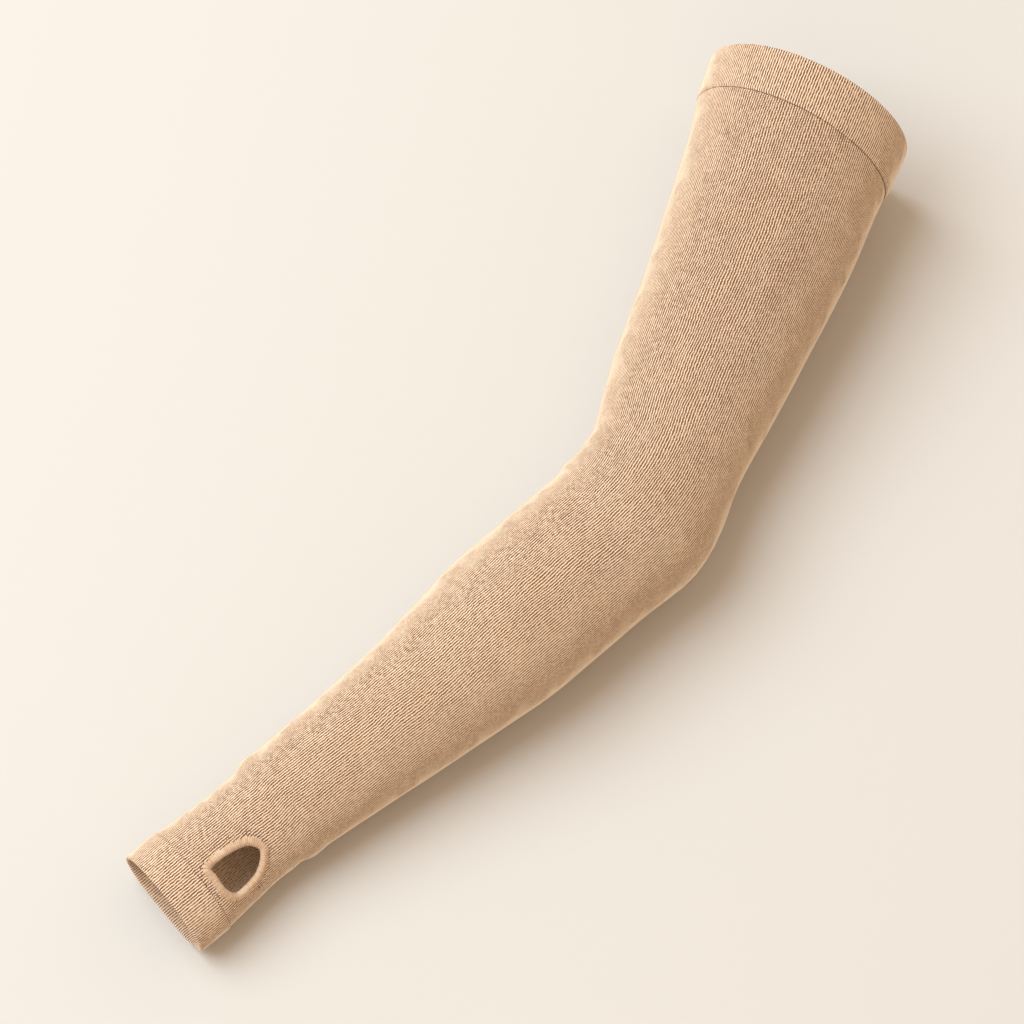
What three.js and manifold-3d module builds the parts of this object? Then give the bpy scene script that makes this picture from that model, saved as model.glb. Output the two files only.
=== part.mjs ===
// An arm compression sleeve: a seamless knitted tube from the palm to the upper arm,
// bent at the elbow and filled out as it is when it lies on a table.
// Millimetres, +Z up. The hand end is at -X, the upper arm at +X, and the inner elbow faces +Y.

import * as THREE from 'three';
import Module from 'manifold-3d';
import { mergeVertices } from 'three/addons/utils/BufferGeometryUtils.js';

const wasm = await Module();
wasm.setup();

// Lengths along the middle of the arm
const FOREARM_RUN = 283.3;    // hand rim to the point of the elbow
const UPPER_ARM_RUN = 218.7;  // point of the elbow to the upper rim
const HAND_LENGTH = 67.7;     // hand rim to the crest of the wrist ridge
const HAND_HEM_LENGTH = 17.3;
const UPPER_CUFF_LENGTH = 23.6;

// The bend of the elbow
const ELBOW_BEND = 29.4;      // degrees
const ELBOW_RADIUS = 76;      // of the middle of the arm

// Widths of the tube as it lies, without the bands
const HAND_WIDTH = 54.5;
const WRIST_WIDTH = 51;
const FOREARM_WIDTH = 77;
const ELBOW_WIDTH = 79.5;
const ABOVE_ELBOW_WIDTH = 72.5;
const UPPER_ARM_WIDTH = 95.5;

// The knit, and the play between pieces
const WALL = 1.2;
const GAP = 0.3;

// The low ridge where the hand part meets the wrist
const RIDGE_HEIGHT = 1.1;
const RIDGE_LENGTH = 14;

// The doubled bands at both ends: outer layer, whole thickness and how far they lap the tube
const CUFF_LAYER = 1;
const CUFF_THICKNESS = 2.3;
const HEM_LAYER = 0.7;
const HEM_THICKNESS = 1.9;
const SEAM_LAP = 4;

// The tube rises on to the thicker bands over this length
const LIFT_LENGTH = 26;

// The cuff lies askew: its seam and its rim run further up on the inner side
const CUFF_SEAM_SLANT = 6.5;  // degrees
const UPPER_RIM_SLANT = 4.7;
const SLANT_LENGTH = 70;      // below the seam, over which the knit turns into the slant

// The thumb hole, as it lies on the knit, and its place on the hand part
const THUMB_HOLE_LENGTH = 26;
const THUMB_HOLE_WIDTH = 22;
const THUMB_HOLE_START = 23;  // hand rim to the near edge of the hole
const THUMB_HOLE_TURN = 31;   // degrees from the top of the tube towards the outer elbow

// The overcast roll that grips the edge of the thumb hole
const BINDING_WIDTH = 3;      // on the knit, outside the edge
const BINDING_INSIDE = 1.2;   // past the edge, into the hole
const BINDING_RISE = 1.5;     // above the knit
const BINDING_DEPTH = 0.9;    // below the knit

// How much of each half of a section lies flat on the table
const BASE_FLAT = 0.27;

// How finely the shapes are faceted
const TOP_STEPS = 20;
const CORNER_STEPS = 8;
const BASE_STEPS = 2;
const HOLE_STEPS = 32;

// The middle of the arm: a straight run, the arc of the elbow and a second straight run
const BEND = THREE.MathUtils.degToRad(ELBOW_BEND);
const TANGENT = ELBOW_RADIUS * Math.tan(BEND / 2);
const FOREARM = FOREARM_RUN - TANGENT;
const ELBOW = ELBOW_RADIUS * BEND;
const UPPER_ARM = UPPER_ARM_RUN - TANGENT;
const TOTAL = FOREARM + ELBOW + UPPER_ARM;

// The arm lies with the line between its two rims along X
const FOREARM_HEADING = -Math.atan2(
  UPPER_ARM_RUN * Math.sin(BEND),
  FOREARM_RUN + UPPER_ARM_RUN * Math.cos(BEND),
);

// Sections of the tube. along: share of the run named by part. width: share of the size named by of.
// bow: how far the middle moves towards the inner elbow, and height: both shares of the width.
// widest: height of the widest line, a share of the height.
const SECTIONS = [
  { part: 'forearm', along: 0.0, of: HAND_WIDTH, width: 0.99, bow: -0.007, height: 0.66, widest: 0.43 },
  { part: 'forearm', along: 0.09, of: HAND_WIDTH, width: 0.99, bow: 0.002, height: 0.7, widest: 0.44 },
  { part: 'forearm', along: 0.18, of: WRIST_WIDTH, width: 0.995, bow: 0.019, height: 0.78, widest: 0.45 },
  { part: 'forearm', along: 0.22, of: WRIST_WIDTH, width: 1.01, bow: 0.02, height: 0.81, widest: 0.46 },
  { part: 'forearm', along: 0.26, of: WRIST_WIDTH, width: 1.04, bow: 0.025, height: 0.84, widest: 0.46 },
  { part: 'forearm', along: 0.31, of: WRIST_WIDTH, width: 1.08, bow: 0.015, height: 0.86, widest: 0.47 },
  { part: 'forearm', along: 0.37, of: WRIST_WIDTH, width: 1.115, bow: 0.004, height: 0.88, widest: 0.47 },
  { part: 'forearm', along: 0.46, of: WRIST_WIDTH, width: 1.18, bow: -0.008, height: 0.9, widest: 0.47 },
  { part: 'forearm', along: 0.56, of: FOREARM_WIDTH, width: 0.837, bow: -0.013, height: 0.91, widest: 0.47 },
  { part: 'forearm', along: 0.66, of: FOREARM_WIDTH, width: 0.913, bow: -0.008, height: 0.92, widest: 0.47 },
  { part: 'forearm', along: 0.76, of: FOREARM_WIDTH, width: 0.985, bow: 0.002, height: 0.92, widest: 0.47 },
  { part: 'forearm', along: 0.88, of: FOREARM_WIDTH, width: 0.99, bow: 0.021, height: 0.93, widest: 0.47 },
  { part: 'elbow', along: 0.0, of: ELBOW_WIDTH, width: 0.967, bow: 0.038, height: 0.93, widest: 0.47 },
  { part: 'elbow', along: 0.4, of: ELBOW_WIDTH, width: 1.0, bow: 0.031, height: 0.93, widest: 0.47 },
  { part: 'elbow', along: 1.0, of: ELBOW_WIDTH, width: 0.94, bow: 0.033, height: 0.94, widest: 0.47 },
  { part: 'upper_arm', along: 0.06, of: ABOVE_ELBOW_WIDTH, width: 1.0, bow: 0.022, height: 0.95, widest: 0.48 },
  { part: 'upper_arm', along: 0.14, of: ABOVE_ELBOW_WIDTH, width: 1.045, bow: 0.02, height: 0.95, widest: 0.48 },
  { part: 'upper_arm', along: 0.25, of: ABOVE_ELBOW_WIDTH, width: 1.115, bow: 0.014, height: 0.95, widest: 0.48 },
  { part: 'upper_arm', along: 0.4, of: UPPER_ARM_WIDTH, width: 0.89, bow: -0.001, height: 0.95, widest: 0.48 },
  { part: 'upper_arm', along: 0.62, of: UPPER_ARM_WIDTH, width: 0.96, bow: -0.013, height: 0.96, widest: 0.49 },
  { part: 'upper_arm', along: 0.88, of: UPPER_ARM_WIDTH, width: 1.025, bow: 0.003, height: 0.96, widest: 0.49 },
  { part: 'upper_arm', along: 1.0, of: UPPER_ARM_WIDTH, width: 1.05, bow: 0.004, height: 0.95, widest: 0.49 },
];

// The outline of the thumb hole, a rounded D with its flat side to the hand rim.
// along: share of its length from the near edge. around: share of its width from its middle,
// towards the outer elbow.
const HOLE_OUTLINE = [
  { along: 0.0, around: -0.17 },
  { along: 0.0, around: 0.2 },
  { along: 0.12, around: 0.51 },
  { along: 0.36, around: 0.55 },
  { along: 0.64, around: 0.49 },
  { along: 0.87, around: 0.27 },
  { along: 0.96, around: 0.06 },
  { along: 0.84, around: -0.2 },
  { along: 0.52, around: -0.36 },
  { along: 0.22, around: -0.41 },
  { along: 0.0, around: -0.37 },
];

function smooth(value) {
  const share = THREE.MathUtils.clamp(value, 0, 1);
  return share * share * (3 - 2 * share);
}

// Distance of a section from the hand rim
function distance(part, along) {
  if (part === 'forearm') return along * FOREARM;
  if (part === 'elbow') return FOREARM + along * ELBOW;
  return FOREARM + ELBOW + along * UPPER_ARM;
}

const STATIONS = SECTIONS.map((row) => {
  const width = row.width * row.of;
  const height = row.height * width;
  return {
    s: distance(row.part, row.along),
    half: width / 2,
    bow: row.bow * width,
    height,
    widest: row.widest * height,
  };
});

// A smooth curve through one column of the stations
function column(name, s) {
  const last = STATIONS.length - 1;
  let next = STATIONS.findIndex((station) => station.s > s);
  if (next === -1) next = last;
  next = Math.max(next, 1);
  const [a, b] = [STATIONS[next - 1], STATIONS[next]];
  const slope = (from, to) => (to[name] - from[name]) / (to.s - from.s);
  const before = STATIONS[Math.max(next - 2, 0)];
  const after = STATIONS[Math.min(next + 1, last)];
  const span = b.s - a.s;
  const u = THREE.MathUtils.clamp((s - a.s) / span, 0, 1);
  const start = slope(before, b) * span;
  const end = slope(a, after) * span;
  const rise = b[name] - a[name];
  return a[name] + u * start + u * u * (3 * rise - 2 * start - end) + u * u * u * (start + end - 2 * rise);
}

// The bands are thicker than the tube, so near them the tube is lifted off the table
function lift(s) {
  const overHem = (HEM_LAYER + GAP) * smooth(1 - (s - HAND_HEM_LENGTH) / LIFT_LENGTH);
  const overCuff = (CUFF_LAYER + GAP) * smooth(1 - (TOTAL - UPPER_CUFF_LENGTH - s) / LIFT_LENGTH);
  return overHem + overCuff;
}

// The wrist ridge rises quickly on the hand side and falls slowly on the other
function ridge(s) {
  const share = (s - HAND_LENGTH) / RIDGE_LENGTH;
  return RIDGE_HEIGHT * (share < 0 ? smooth(1 + share * 2.4) : smooth(1 - share * 1.3));
}

// How far the knit runs ahead for each millimetre towards the inner side
function slant(s) {
  const seam = TOTAL - UPPER_CUFF_LENGTH;
  const toSeam = smooth(1 - (seam - s) / SLANT_LENGTH);
  const toRim = smooth((s - seam) / UPPER_CUFF_LENGTH);
  const degrees = CUFF_SEAM_SLANT * toSeam + (UPPER_RIM_SLANT - CUFF_SEAM_SLANT) * toRim;
  return Math.tan(THREE.MathUtils.degToRad(degrees));
}

function sectionAt(s) {
  return {
    half: column('half', s),
    bow: column('bow', s),
    height: column('height', s),
    widest: column('widest', s),
  };
}

// Point of the middle of the arm on the table, and the direction of the arm there
function middle(s) {
  const turned = THREE.MathUtils.clamp((s - FOREARM) / ELBOW_RADIUS, 0, BEND);
  const first = Math.min(s, FOREARM);
  const last = Math.max(s - FOREARM - ELBOW, 0);
  const point = new THREE.Vector2(
    first + ELBOW_RADIUS * Math.sin(turned) + last * Math.cos(BEND),
    ELBOW_RADIUS * (1 - Math.cos(turned)) + last * Math.sin(BEND),
  );
  point.rotateAround(new THREE.Vector2(), FOREARM_HEADING);
  return { point, heading: FOREARM_HEADING + turned };
}

// A point of the knit. turn: angle from the top towards the outer elbow. base: -1 to 1 across the
// flat base, 0 on the upper half. offset: distance out from the outer face of the tube.
function onKnit(s, turn, base, offset) {
  const section = sectionAt(s);
  const up = Math.cos(turn);
  const out = Math.sin(turn);
  const rise = up > 0 ? section.height - section.widest : section.widest;
  const flat = BASE_FLAT * section.half;
  const reach = base === 0 ? section.half : section.half - flat;
  const normal = new THREE.Vector2(out / reach, up / rise).normalize();
  const swell = offset + ridge(s) * smooth((up + 1) / 0.7);
  const side = reach * out + base * flat + normal.x * swell;
  const z = section.widest + rise * up + normal.y * swell + lift(s);
  const { point, heading } = middle(s);
  const across = section.bow - side;
  const forward = slant(s) * across;
  return new THREE.Vector3(
    point.x + forward * Math.cos(heading) - across * Math.sin(heading),
    point.y + forward * Math.sin(heading) + across * Math.cos(heading),
    z,
  );
}

// The places round a section: over the top, down the outer side, across the base and up the inner side
function placesRound() {
  const places = [];
  for (let i = 0; i <= TOP_STEPS; i += 1) {
    places.push({ turn: -Math.PI / 2 + (Math.PI * i) / TOP_STEPS, base: 0 });
  }
  for (let i = 1; i < CORNER_STEPS; i += 1) {
    places.push({ turn: (Math.PI / 2) * (1 + i / CORNER_STEPS), base: 1 });
  }
  for (let i = 0; i <= BASE_STEPS; i += 1) {
    places.push({ turn: Math.PI, base: 1 - (2 * i) / BASE_STEPS });
  }
  for (let i = 1; i < CORNER_STEPS; i += 1) {
    places.push({ turn: -Math.PI + (Math.PI / 2) * (i / CORNER_STEPS), base: -1 });
  }
  return places;
}

// A closed grid of points, both ways round, as a closed body with its faces pointing out
function closedGrid(rows) {
  const columns = rows[0].length;
  const positions = rows.flat().flatMap((point) => point.toArray());
  const index = [];
  for (let i = 0; i < rows.length; i += 1) {
    const nextRow = (i + 1) % rows.length;
    for (let j = 0; j < columns; j += 1) {
      const nextColumn = (j + 1) % columns;
      const [a, b] = [i * columns + j, nextRow * columns + j];
      const [c, d] = [nextRow * columns + nextColumn, i * columns + nextColumn];
      index.push(a, b, c, a, c, d);
    }
  }
  return facingOut(positions, index);
}

function facingOut(positions, index) {
  const [a, b, c] = [new THREE.Vector3(), new THREE.Vector3(), new THREE.Vector3()];
  let volume = 0;
  for (let i = 0; i < index.length; i += 3) {
    a.fromArray(positions, 3 * index[i]);
    b.fromArray(positions, 3 * index[i + 1]);
    c.fromArray(positions, 3 * index[i + 2]);
    volume += a.dot(b.cross(c));
  }
  const geometry = new THREE.BufferGeometry();
  geometry.setAttribute('position', new THREE.Float32BufferAttribute(positions, 3));
  geometry.setIndex(volume > 0 ? index : index.toReversed());
  return geometry;
}

// A band round the arm. profile: closed loop of { s, offset }
function bandRound(profile) {
  const places = placesRound();
  return closedGrid(
    profile.map(({ s, offset }) => places.map(({ turn, base }) => onKnit(s, turn, base, offset))),
  );
}

function spread(from, to, count) {
  return Array.from({ length: count }, (unused, i) => from + ((to - from) * i) / count);
}

// A rounded end from one face of a band to the other, at distance s
function roundedEnd(s, outer, inner, outwards) {
  const radius = (outer - inner) / 2;
  const middleOffset = (outer + inner) / 2;
  return [60, 20, -20, -60].map((degrees) => {
    const angle = THREE.MathUtils.degToRad(degrees);
    return {
      s: s + outwards * radius * (Math.cos(angle) - 1),
      offset: middleOffset + radius * Math.sin(angle),
    };
  });
}

const TUBE_START = HAND_HEM_LENGTH - SEAM_LAP;
const TUBE_END = TOTAL - UPPER_CUFF_LENGTH + SEAM_LAP;

// The knitted wall between the two bands
function tubeGeometry() {
  const stations = [
    ...spread(TUBE_START, HAND_LENGTH - RIDGE_LENGTH / 2, 9),
    ...spread(HAND_LENGTH - RIDGE_LENGTH / 2, HAND_LENGTH + RIDGE_LENGTH, 9),
    ...spread(HAND_LENGTH + RIDGE_LENGTH, FOREARM, 11),
    ...spread(FOREARM, FOREARM + ELBOW, 5),
    ...spread(FOREARM + ELBOW, TUBE_END, 10),
    TUBE_END,
  ];
  const outside = stations.map((s) => ({ s, offset: 0 }));
  const inside = stations.map((s) => ({ s, offset: -WALL })).reverse();
  return bandRound([...outside, ...inside]);
}

// A doubled band on one end of the tube, from its rim back to its seam edge, lapping the tube
function endBand(rim, seam, tubeEnd, layer, thickness) {
  const outwards = Math.sign(rim - seam);
  const outer = GAP + layer;
  const inner = outer - thickness;
  const stop = tubeEnd + outwards * GAP;
  const seamRound = layer / 2;
  return bandRound([
    { s: seam + outwards * seamRound, offset: outer },
    { s: (seam + rim) / 2, offset: outer },
    { s: rim - outwards * thickness, offset: outer },
    ...roundedEnd(rim, outer, inner, outwards),
    { s: rim - outwards * thickness, offset: inner },
    { s: stop, offset: inner },
    { s: stop, offset: GAP },
    { s: seam, offset: GAP },
    { s: seam, offset: outer - seamRound },
  ]);
}

// The outline of the thumb hole on the knit, moved out from its edge by a distance
function holeOutline(grown) {
  const middleS = THUMB_HOLE_START + THUMB_HOLE_LENGTH / 2;
  const knots = HOLE_OUTLINE.map(
    ({ along, around }) =>
      new THREE.Vector3((along - 0.5) * THUMB_HOLE_LENGTH, around * THUMB_HOLE_WIDTH, 0),
  );
  const curve = new THREE.CatmullRomCurve3(knots, true, 'centripetal');
  return Array.from({ length: HOLE_STEPS }, (unused, i) => {
    const point = curve.getPointAt(i / HOLE_STEPS);
    const tangent = curve.getTangentAt(i / HOLE_STEPS);
    return {
      s: middleS + point.x - tangent.y * grown,
      around: point.y + tangent.x * grown,
    };
  });
}

// A point of the knit at a distance round from the middle of the thumb hole
function nearHole(s, around, offset) {
  const turn = THREE.MathUtils.degToRad(THUMB_HOLE_TURN) + around / sectionAt(s).half;
  return onKnit(s, turn, 0, offset);
}

// The plug that the thumb hole is cut with
function holePlug() {
  const loop = holeOutline(0);
  const depths = [WALL, -2 * WALL];
  const middleS = THUMB_HOLE_START + THUMB_HOLE_LENGTH / 2;
  const points = [
    ...depths.flatMap((offset) => loop.map(({ s, around }) => nearHole(s, around, offset))),
    ...depths.map((offset) => nearHole(middleS, 0, offset)),
  ];
  const index = [];
  const count = loop.length;
  for (let i = 0; i < count; i += 1) {
    const next = (i + 1) % count;
    index.push(i, count + i, count + next, i, count + next, next);
    index.push(next, 2 * count, i);
    index.push(count + i, 2 * count + 1, count + next);
  }
  return facingOut(points.flatMap((point) => point.toArray()), index);
}

// The roll round the thumb hole: a C in section, with the edge of the knit in its mouth.
// out: distance from the edge into the knit, rise: height above the outer face of the knit.
function bindingGeometry() {
  const floor = -WALL - GAP;
  const profile = [
    { out: -GAP, rise: GAP },
    { out: BINDING_WIDTH, rise: GAP },
    { out: 0.8 * BINDING_WIDTH, rise: 0.75 * BINDING_RISE },
    { out: 0.45 * BINDING_WIDTH, rise: BINDING_RISE },
    { out: 0, rise: 0.85 * BINDING_RISE },
    { out: -0.8 * BINDING_INSIDE, rise: 0.3 * BINDING_RISE },
    { out: -BINDING_INSIDE, rise: -WALL / 2 },
    { out: -0.8 * BINDING_INSIDE, rise: floor - 0.4 * BINDING_DEPTH },
    { out: 0, rise: floor - 0.9 * BINDING_DEPTH },
    { out: 0.4 * BINDING_WIDTH, rise: floor - BINDING_DEPTH },
    { out: 0.7 * BINDING_WIDTH, rise: floor },
    { out: -GAP, rise: floor },
  ];
  const loops = profile.map(({ out, rise }) =>
    holeOutline(out).map(({ s, around }) => nearHole(s, around, rise)),
  );
  return closedGrid(loops);
}

// One solid less another, by their meshes
function toSolid(geometry) {
  const bare = mergeVertices(geometry);
  return new wasm.Manifold(
    new wasm.Mesh({
      numProp: 3,
      vertProperties: new Float32Array(bare.attributes.position.array),
      triVerts: new Uint32Array(bare.index.array),
    }),
  );
}

function less(geometry, cutter) {
  const { vertProperties, triVerts } = toSolid(geometry).subtract(toSolid(cutter)).getMesh();
  const result = new THREE.BufferGeometry();
  result.setAttribute('position', new THREE.Float32BufferAttribute(vertProperties, 3));
  result.setIndex(Array.from(triVerts));
  return result;
}

// Beige knit, a little lighter on the stitched roll
const knit = { color: 0xcfa584, roughness: 0.9, metalness: 0 };
const thread = { color: 0xd9b08e, roughness: 0.85, metalness: 0 };

function piece(name, geometry, look) {
  const mesh = new THREE.Mesh(geometry, new THREE.MeshStandardMaterial(look));
  mesh.name = name;
  return mesh;
}

const sleeve = new THREE.Group();
sleeve.add(
  piece('knit_tube', less(tubeGeometry(), holePlug()), knit),
  piece('upper_cuff', endBand(TOTAL, TOTAL - UPPER_CUFF_LENGTH, TUBE_END, CUFF_LAYER, CUFF_THICKNESS), knit),
  piece('hand_hem', endBand(0, HAND_HEM_LENGTH, TUBE_START, HEM_LAYER, HEM_THICKNESS), knit),
  piece('thumb_binding', bindingGeometry(), thread),
);

// The origin is under the middle of the whole sleeve
const box = new THREE.Box3().setFromObject(sleeve);
const centre = box.getCenter(new THREE.Vector3());
sleeve.position.set(-centre.x, -centre.y, -box.min.z);

export default sleeve;
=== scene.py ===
"""The looks of an arm compression sleeve: wales knitted along a seamless tube, doubled bands at
both ends and an overcast thumb hole. Metres, +Z up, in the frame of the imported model."""

import math

import bmesh
import bpy
import numpy as np
from mathutils import Matrix, Vector


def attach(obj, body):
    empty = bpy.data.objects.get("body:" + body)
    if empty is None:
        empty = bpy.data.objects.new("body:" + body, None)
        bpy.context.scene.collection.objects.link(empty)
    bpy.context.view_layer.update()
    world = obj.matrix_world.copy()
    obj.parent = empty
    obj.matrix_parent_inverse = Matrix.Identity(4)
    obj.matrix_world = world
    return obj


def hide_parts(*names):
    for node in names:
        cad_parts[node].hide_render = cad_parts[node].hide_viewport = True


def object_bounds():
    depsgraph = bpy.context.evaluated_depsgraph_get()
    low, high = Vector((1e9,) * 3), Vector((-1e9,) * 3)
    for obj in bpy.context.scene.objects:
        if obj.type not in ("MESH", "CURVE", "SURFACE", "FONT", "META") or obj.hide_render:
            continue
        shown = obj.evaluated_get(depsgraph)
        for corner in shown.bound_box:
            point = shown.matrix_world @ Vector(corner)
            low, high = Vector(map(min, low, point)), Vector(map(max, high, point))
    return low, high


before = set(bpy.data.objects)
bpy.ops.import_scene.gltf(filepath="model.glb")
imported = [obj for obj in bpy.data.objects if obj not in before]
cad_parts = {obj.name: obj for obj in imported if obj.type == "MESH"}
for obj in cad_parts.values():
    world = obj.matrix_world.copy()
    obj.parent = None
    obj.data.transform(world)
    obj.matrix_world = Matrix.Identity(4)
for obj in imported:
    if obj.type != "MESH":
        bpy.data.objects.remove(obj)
cad_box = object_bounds()

MM = 0.001

# Lengths along the middle of the arm
FOREARM_RUN = 283.3 * MM  # hand rim to the point of the elbow
UPPER_ARM_RUN = 218.7 * MM  # point of the elbow to the upper rim
HAND_LENGTH = 67.7 * MM  # hand rim to the crest of the wrist ridge
HAND_HEM_LENGTH = 17.3 * MM
UPPER_CUFF_LENGTH = 23.6 * MM

# The bend of the elbow
ELBOW_BEND = math.radians(29.4)
ELBOW_RADIUS = 76 * MM

# Widths of the tube as it lies, without the bands
HAND_WIDTH = 54.5 * MM
WRIST_WIDTH = 51 * MM
FOREARM_WIDTH = 77 * MM
ELBOW_WIDTH = 79.5 * MM
ABOVE_ELBOW_WIDTH = 72.5 * MM
UPPER_ARM_WIDTH = 95.5 * MM

# The knit, and the play between pieces
WALL = 1.2 * MM
GAP = 0.3 * MM

# The low ridge where the hand part meets the wrist
RIDGE_HEIGHT = 1.1 * MM
RIDGE_LENGTH = 14 * MM
RIDGE_RISE = 2.4  # how many times steeper than its length it rises from the hand
RIDGE_FALL = 1.3  # and falls towards the forearm
RIDGE_BASE_FADE = 0.7  # of the cosine of the turn, over which it grows from the bottom line

# The doubled bands: outer layer, whole thickness and how far they lap the tube
CUFF_LAYER = 1 * MM
CUFF_THICKNESS = 2.3 * MM
HEM_LAYER = 0.7 * MM
HEM_THICKNESS = 1.9 * MM
SEAM_LAP = 4 * MM
LIFT_LENGTH = 26 * MM  # over which the tube rises on to the thicker bands

# The cuff lies askew
CUFF_SEAM_SLANT = math.radians(6.5)
UPPER_RIM_SLANT = math.radians(4.7)
SLANT_LENGTH = 70 * MM

# The thumb hole on the hand part
THUMB_HOLE_LENGTH = 26 * MM
THUMB_HOLE_WIDTH = 22 * MM
THUMB_HOLE_START = 23 * MM
THUMB_HOLE_TURN = math.radians(31)

# The overcast roll round it
BINDING_WIDTH = 3 * MM
BINDING_INSIDE = 1.2 * MM
BINDING_RISE = 1.5 * MM
BINDING_DEPTH = 0.9 * MM

BASE_FLAT = 0.27  # of each half of a section lies flat

TANGENT = ELBOW_RADIUS * math.tan(ELBOW_BEND / 2)
FOREARM = FOREARM_RUN - TANGENT
ELBOW = ELBOW_RADIUS * ELBOW_BEND
UPPER_ARM = UPPER_ARM_RUN - TANGENT
TOTAL = FOREARM + ELBOW + UPPER_ARM
CUFF_SEAM = TOTAL - UPPER_CUFF_LENGTH
FOREARM_HEADING = -math.atan2(
    UPPER_ARM_RUN * math.sin(ELBOW_BEND), FOREARM_RUN + UPPER_ARM_RUN * math.cos(ELBOW_BEND)
)

# Sections of the tube. along: share of the run named by part. width: share of the size named by of.
# bow: how far the middle moves towards the inner elbow, and height: both shares of the width.
# widest: height of the widest line, a share of the height.
SECTIONS = [
    dict(part="forearm", along=0.0, of=HAND_WIDTH, width=0.99, bow=-0.007, height=0.66, widest=0.43),
    dict(part="forearm", along=0.09, of=HAND_WIDTH, width=0.99, bow=0.002, height=0.7, widest=0.44),
    dict(part="forearm", along=0.18, of=WRIST_WIDTH, width=0.995, bow=0.019, height=0.78, widest=0.45),
    dict(part="forearm", along=0.22, of=WRIST_WIDTH, width=1.01, bow=0.02, height=0.81, widest=0.46),
    dict(part="forearm", along=0.26, of=WRIST_WIDTH, width=1.04, bow=0.025, height=0.84, widest=0.46),
    dict(part="forearm", along=0.31, of=WRIST_WIDTH, width=1.08, bow=0.015, height=0.86, widest=0.47),
    dict(part="forearm", along=0.37, of=WRIST_WIDTH, width=1.115, bow=0.004, height=0.88, widest=0.47),
    dict(part="forearm", along=0.46, of=WRIST_WIDTH, width=1.18, bow=-0.008, height=0.9, widest=0.47),
    dict(part="forearm", along=0.56, of=FOREARM_WIDTH, width=0.837, bow=-0.013, height=0.91, widest=0.47),
    dict(part="forearm", along=0.66, of=FOREARM_WIDTH, width=0.913, bow=-0.008, height=0.92, widest=0.47),
    dict(part="forearm", along=0.76, of=FOREARM_WIDTH, width=0.985, bow=0.002, height=0.92, widest=0.47),
    dict(part="forearm", along=0.88, of=FOREARM_WIDTH, width=0.99, bow=0.021, height=0.93, widest=0.47),
    dict(part="elbow", along=0.0, of=ELBOW_WIDTH, width=0.967, bow=0.038, height=0.93, widest=0.47),
    dict(part="elbow", along=0.4, of=ELBOW_WIDTH, width=1.0, bow=0.031, height=0.93, widest=0.47),
    dict(part="elbow", along=1.0, of=ELBOW_WIDTH, width=0.94, bow=0.033, height=0.94, widest=0.47),
    dict(part="upper", along=0.06, of=ABOVE_ELBOW_WIDTH, width=1.0, bow=0.022, height=0.95, widest=0.48),
    dict(part="upper", along=0.14, of=ABOVE_ELBOW_WIDTH, width=1.045, bow=0.02, height=0.95, widest=0.48),
    dict(part="upper", along=0.25, of=ABOVE_ELBOW_WIDTH, width=1.115, bow=0.014, height=0.95, widest=0.48),
    dict(part="upper", along=0.4, of=UPPER_ARM_WIDTH, width=0.89, bow=-0.001, height=0.95, widest=0.48),
    dict(part="upper", along=0.62, of=UPPER_ARM_WIDTH, width=0.96, bow=-0.013, height=0.96, widest=0.49),
    dict(part="upper", along=0.88, of=UPPER_ARM_WIDTH, width=1.025, bow=0.003, height=0.96, widest=0.49),
    dict(part="upper", along=1.0, of=UPPER_ARM_WIDTH, width=1.05, bow=0.004, height=0.95, widest=0.49),
]

# Wales of the knit: their width at shares of the whole length
WALE_PITCHES = [
    dict(along=0.0, pitch=1.22 * MM),
    dict(along=0.2, pitch=1.15 * MM),
    dict(along=0.5, pitch=1.15 * MM),
    dict(along=0.7, pitch=1.2 * MM),
    dict(along=1.0, pitch=1.25 * MM),
]
WALE_DEPTH = 0.38 * MM
BAND_WALE_DEPTH = 0.38 * MM
SAMPLES_PER_WALE = 3
LAST_COLUMN_ROOM = 0.4  # of a column, least room that the last one leaves to the bottom line

# Added to the wales of the tube's inner face, so that its material knows them
INSIDE_MARK = 1000

# The knit is uneven by this much, and its wales wander sideways
UNEVEN_DEPTH = 0.25 * MM
WANDER = 0.35 * MM
WANDER_FADE = 12 * MM  # over which the wander ends at the bottom line
DEPTH_CHANGE = 0.3  # share by which the grooves grow deeper or shallower from place to place

# Near the table the knit lies even. Both are cosines of the turn.
EVEN_BELOW = -0.85
EVEN_FADE = 0.5

# The tube swells a little before it goes under a band
CUFF_SWELL = 0.85 * MM
HEM_SWELL = 0.45 * MM
SWELL_LENGTH = 12 * MM
TUCK_LENGTH = 0.5 * MM

# Towards the outer elbow the seam of the cuff softens from a line into a low slope
SOFT_SEAM_END = 36 * MM  # round from the crown
SOFT_SEAM_LENGTH = 4 * MM
SOFT_SEAM_FALL = 0.6 * MM
SOFT_SEAM_CALM = 0.7  # of the swell before it is gone there
SEAM_EDGE = 0.35 * MM  # least height of a band's edge over the tube

# A band's profile: its round edge at the seam, and shares of the wales' depth
SEAM_ROUND = 1.3  # length of the round edge for each millimetre of the outer layer
SEAM_FALL = 0.8  # and its fall
SEAM_INSET = 0.2  # and how far its underside starts behind the seam
BAND_FLAT_START = 2 * MM  # from the seam
BAND_OUTER_ROWS = 12
BAND_INNER_ROWS = 8
SEAM_WALES = 0.6
RIM_WALES = 0.8

# A shallow fold lies before the ridge of the wrist
WRIST_FOLD = HAND_LENGTH - 6.5 * MM
WRIST_FOLD_LENGTH = 2.5 * MM
WRIST_FOLD_DEPTH = 0.45 * MM

# Overcast stitches round the thumb hole
STITCHES = 84
SAMPLES_PER_STITCH = 6
STITCH_RELIEF = 0.12 * MM
STITCH_ROUNDNESS = 0.8
STITCH_FOOT = 0.25  # share of the roll's profile over which stitches differ in length

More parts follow.
